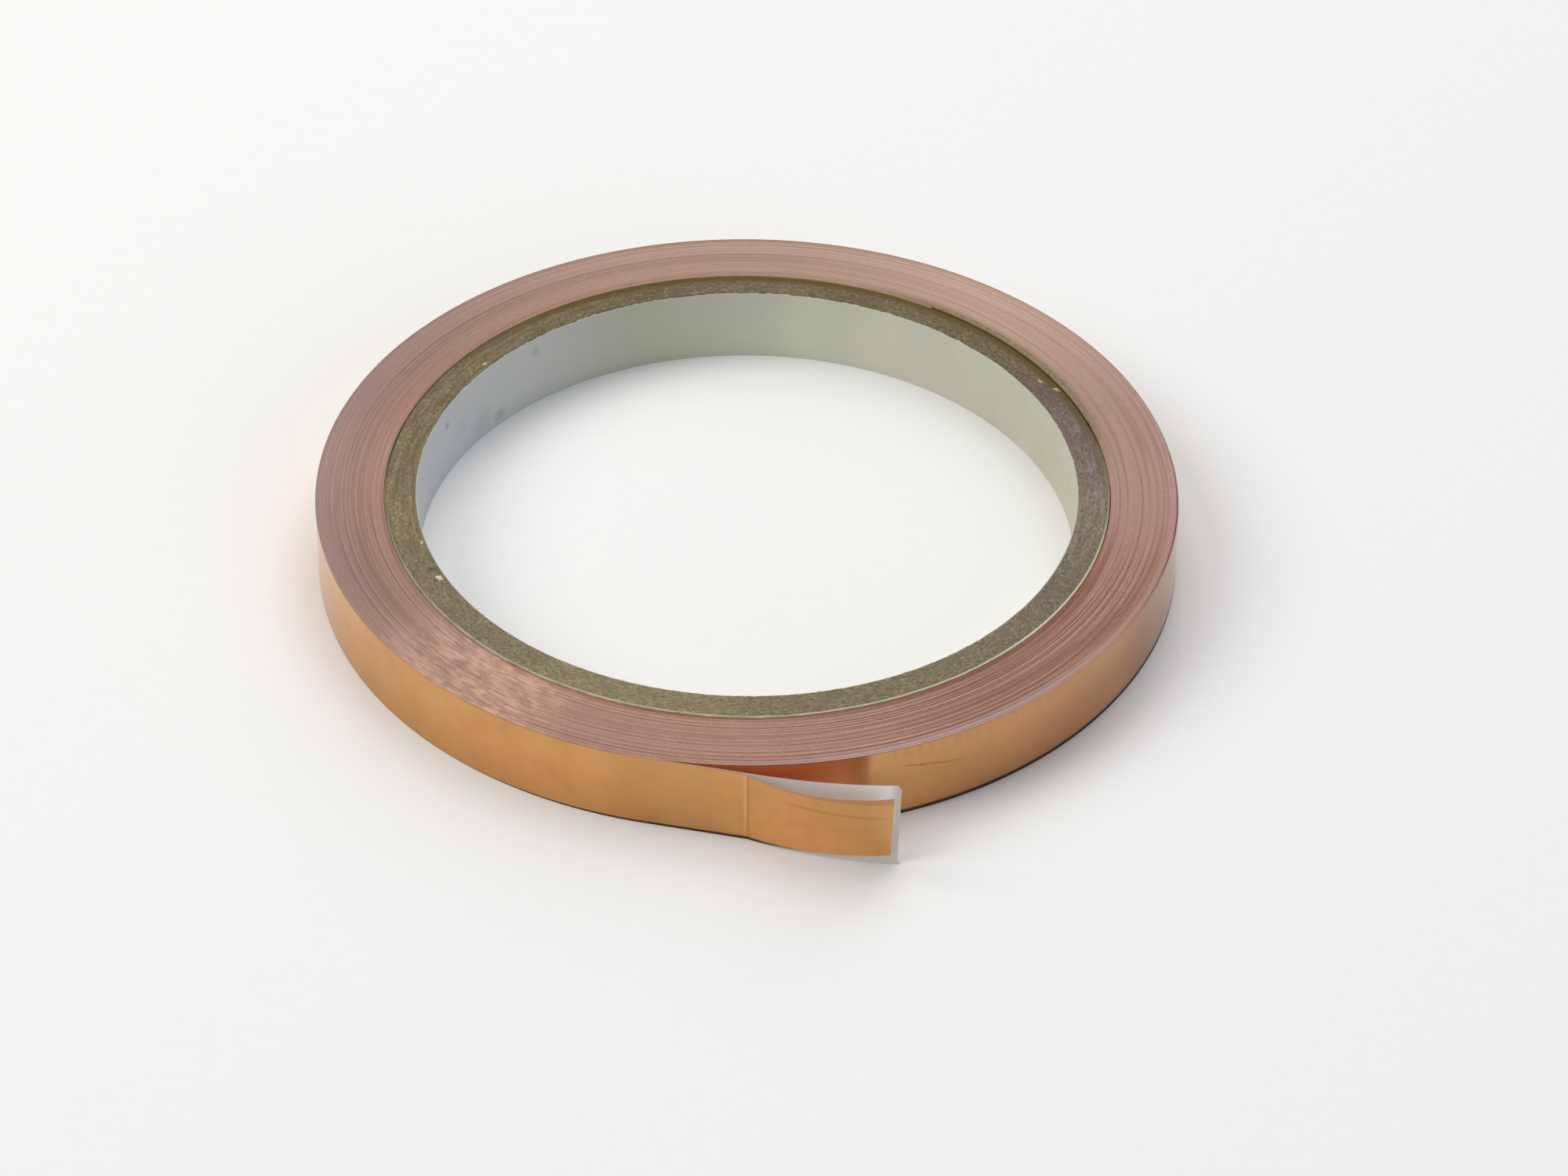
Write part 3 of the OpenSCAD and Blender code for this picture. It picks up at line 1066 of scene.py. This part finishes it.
def far_wall(depth, lengths, bows, ends, rise, lean, cut):
    """The tail beyond the crease. cut(share_up) is how much shorter its end is at each height."""
    share = np.linspace(0, 1, TIP_STATIONS)[:, None]
    share_up = np.linspace(0, 1, LOOSE_HEIGHTS)[None, :]
    bottom, top = end_heights()
    along = share * (between(lengths, share_up) - cut(share_up))
    swing = bowed(share, 1.0, bows, ends) - bowed(share, 0.0, bows, ends)
    height = np.sqrt((top - bottom) ** 2 - swing**2)
    z = bottom + rise * share + height * share_up
    away = bowed(share, share_up, bows, ends) + lean * share_up * (1 - share) - depth
    points = tail_place(root_len + along, away, z)
    uvs = np.stack(np.broadcast_arrays(unrolled(end_turn) + root_len + along, z), axis=2)
    return points, uvs


def no_cut(share_up):
    return 0 * share_up


def torn_end(share_up):
    """The liner's end: its top corner is rounded, and its bottom corner runs to a small point."""
    corner = 0.42 * MM
    from_top = (1 - share_up) * tape_w
    into_corner = np.clip(1 - from_top / corner, 0, 1)
    rounded = corner * (1 - np.sqrt(1 - into_corner**2))
    point = 0.25 * MM * np.clip(1 - share_up * tape_w / (0.5 * MM), 0, 1)
    return rounded - point + 0.04 * MM * value_noise(share_up * 14, 0.5, 33)


def layer_depth(layer, outer):
    """How far a wall of a layer lies behind the copper's outer side."""
    return NOMINAL_PITCH - layer.inset - (layer.thickness if outer else 0)


def loose_strip(name, layer, far, nodes):
    """One layer of the last stretch on the roll and of the tail, as a single piece."""
    turns = stations(loose_turn, end_turn, FINE_STEP)
    walls = []
    for outer in (True, False):
        depth = layer_depth(layer, outer)
        course = (turns, pitch - depth, LOOSE_HEIGHTS, FOIL_SEED, layer.sink)
        smooth, uvs = wound_points(*course)
        dented, _ = wound_points(*course, DENTS)
        fade = np.clip((end_turn - turns) / DENT_FADE, 0, 1)[:, None, None]
        parts = [(smooth + (dented - smooth) * fade, uvs), root_wall(depth, layer is not LINER)]
        if far:
            points, far_uvs = far_wall(depth, FLAP_LENGTHS, FLAP_BOWS, FLAP_ENDS, 0.0, 0.0, torn_end)
            parts.append((points[1:], far_uvs[1:]))
        walls.append([np.concatenate(part) for part in zip(*parts)])
    (outer_points, uvs), (inner_points, _) = walls
    piece = strip_piece(name, outer_points, inner_points, uvs, layer.looks)
    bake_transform(piece)
    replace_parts(piece, *nodes)


def tip_strip(name, layer, node):
    """One layer of the foil that was peeled off its liner beyond the crease."""
    walls = []
    for outer in (True, False):
        depth = layer_depth(layer, outer)
        walls.append(far_wall(depth, TIP_LENGTHS, TIP_BOWS, TIP_ENDS, TIP_RISE, CREASE_LEAN, no_cut))
    (outer_points, uvs), (inner_points, _) = walls
    piece = strip_piece(name, outer_points, inner_points, uvs, layer.looks)
    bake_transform(piece)
    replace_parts(piece, node)


def make_loose_end():
    loose_strip("loose_foil", FOIL, False, ["wound_foil", "tail_foil"])
    loose_strip("loose_adhesive", ADHESIVE, False, ["wound_adhesive", "tail_adhesive"])
    loose_strip("loose_liner", LINER, True, ["wound_liner", "tail_liner"])
    tip_strip("peeled_foil_tip", FOIL, "tip_foil")
    tip_strip("peeled_adhesive_tip", ADHESIVE, "tip_adhesive")


# ---- loose fibre on the core

# Direction in degrees, then distance from the axis, length and width in mm of each torn flake.
FLAKES = (
    (-162.4, 38.65, 0.75, 0.35),
    (-152.4, 38.95, 0.95, 0.75),
    (143.8, 38.9, 0.6, 0.3),
    (30.4, 40.3, 0.85, 0.5),
    (27.2, 41.1, 1.0, 0.5),
)
FLAKE_T = 0.20 * MM
FLAKE_SINK = 0.05 * MM
FRAY_START, FRAY_END = 17, 58
FRAY_STATIONS, FRAY_ROWS = 260, 13
FRAY_T = 0.05 * MM
FRAY_UPRIGHT = 0.3
FRAY_DEPTH = 0.5 * MM
FRAY_REACH = 1.3 * MM


def make_flakes(material):
    """Crumpled flakes of paper that stick to the core's cut face."""
    random = np.random.default_rng(8)
    mesh = bmesh.new()
    for direction, distance, length, width in FLAKES:
        angle = math.radians(direction)
        level = tape_w - core_sink(angle) - FLAKE_SINK
        x, y = distance * MM * math.cos(angle), distance * MM * math.sin(angle)
        place = Matrix.Translation((x, y, level))
        turn = Matrix.Rotation(angle + random.uniform(-0.5, 0.5) + math.pi / 2, 4, "Z")
        size = Matrix.Diagonal((length / 2 * MM, width / 2 * MM, FLAKE_T / 2, 1))
        made = bmesh.ops.create_icosphere(mesh, subdivisions=4, radius=1.0)
        for vertex in made["verts"]:
            co = np.array(vertex.co)
            crumple = 1 + 0.35 * value_noise(co[0] * 2.3 + direction, co[1] * 2.3 + co[2], 90)
            crumple += 0.18 * value_noise(co[0] * 6 + distance, co[1] * 6, 91)
            vertex.co = place @ turn @ size @ (vertex.co * float(crumple))
    data = bpy.data.meshes.new("torn_flakes")
    mesh.to_mesh(data)
    mesh.free()
    data.materials.append(material)
    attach(placed("torn_flakes", data), "roll")


def make_fray(material):
    """A torn collar of the wrap: it stands against the tape and turns out over the first turns."""
    angle = np.radians(np.linspace(FRAY_START, FRAY_END, FRAY_STATIONS))[:, None]
    across = np.linspace(0, 1, FRAY_ROWS)[None, :]
    fade = np.sin(np.linspace(0, math.pi, FRAY_STATIONS))[:, None] ** 0.5
    ragged = 0.55 + 0.25 * value_noise(angle * 40, 0.5, 94) + 0.12 * value_noise(angle * 130, 0.5, 95)
    upright = np.clip(across / FRAY_UPRIGHT, 0, 1)
    turned_out = np.clip((across - FRAY_UPRIGHT) / (1 - FRAY_UPRIGHT), 0, 1)
    r = core_r - 0.03 * MM + FRAY_REACH * fade * np.clip(ragged, 0.25, 1) * turned_out
    crumple = 0.02 * MM * value_noise(angle * 120, across * 4, 96)
    top = tape_w - FRAY_DEPTH * (1 - upright) + 0.04 * MM * np.sin(turned_out * math.pi) + crumple
    x, y = r * np.cos(angle), r * np.sin(angle)
    outer = np.stack([x, y, top], axis=2)
    inner = np.stack([x, y, top - FRAY_T], axis=2)
    piece = strip_piece("frayed_wrap", outer, inner, np.zeros((*x.shape, 2)), [material] * 3)
    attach(piece, "roll")


# ---- floor, light and camera

FLOOR_HALF = 1.5


def make_floor():
    corners = FLOOR_HALF * np.array([(-1, -1, 0), (1, -1, 0), (1, 1, 0), (-1, 1, 0)])
    make_piece("floor", corners, np.array([[0, 1, 2, 3]]), [floor_paper()])


def soft_light(name, place, size, power, colour):
    """A square soft box that faces the roll."""
    data = bpy.data.lights.new(name, "AREA")
    data.size = size
    data.energy = power
    data.color = colour
    lamp = placed(name, data)
    lamp.location = place
    lamp.rotation_euler = (-Vector(place)).to_track_quat("-Z", "Y").to_euler()


def make_lights():
    soft_light("key_light", (-0.75, -0.10, 0.75), 0.7, 6.0, (1.0, 0.97, 0.90))
    soft_light("top_light", (0.05, 0.35, 0.95), 0.8, 4.4, (1.0, 0.98, 0.94))
    soft_light("back_light", (0.25, 0.72, 0.50), 0.5, 1.5, (1.0, 0.98, 0.96))
    soft_light("cool_fill", (0.55, -0.75, 0.40), 0.6, 2.2, (0.82, 0.88, 1.0))
    world = bpy.data.worlds.new("studio")
    world.use_nodes = True
    background = world.node_tree.nodes["Background"]
    background.inputs["Color"].default_value = (0.90, 0.94, 1.0, 1)
    background.inputs["Strength"].default_value = 0.25
    bpy.context.scene.world = world


CAMERA_PLACE = Vector((0, -0.42562, 0.33563))
CAMERA_AIM = Vector((0.00432, -0.00756, 0))
CAMERA_ROLL = math.radians(0.81)
CAMERA_LENS = 106.67


def make_camera():
    data = bpy.data.cameras.new("camera")
    data.lens = CAMERA_LENS
    data.sensor_width = 36
    data.clip_start, data.clip_end = 0.05, 10
    camera = placed("camera", data)
    level = (CAMERA_AIM - CAMERA_PLACE).to_track_quat("-Z", "Y").to_matrix()
    turned = level @ Matrix.Rotation(CAMERA_ROLL, 3, "Z")
    camera.matrix_world = Matrix.Translation(CAMERA_PLACE) @ turned.to_4x4()
    bpy.context.scene.camera = camera
    bpy.context.scene.view_settings.view_transform = "Standard"


make_core()
make_wound_tape()
make_loose_end()
torn = torn_paper()
make_flakes(torn)
make_fray(torn)
make_floor()
make_lights()
make_camera()
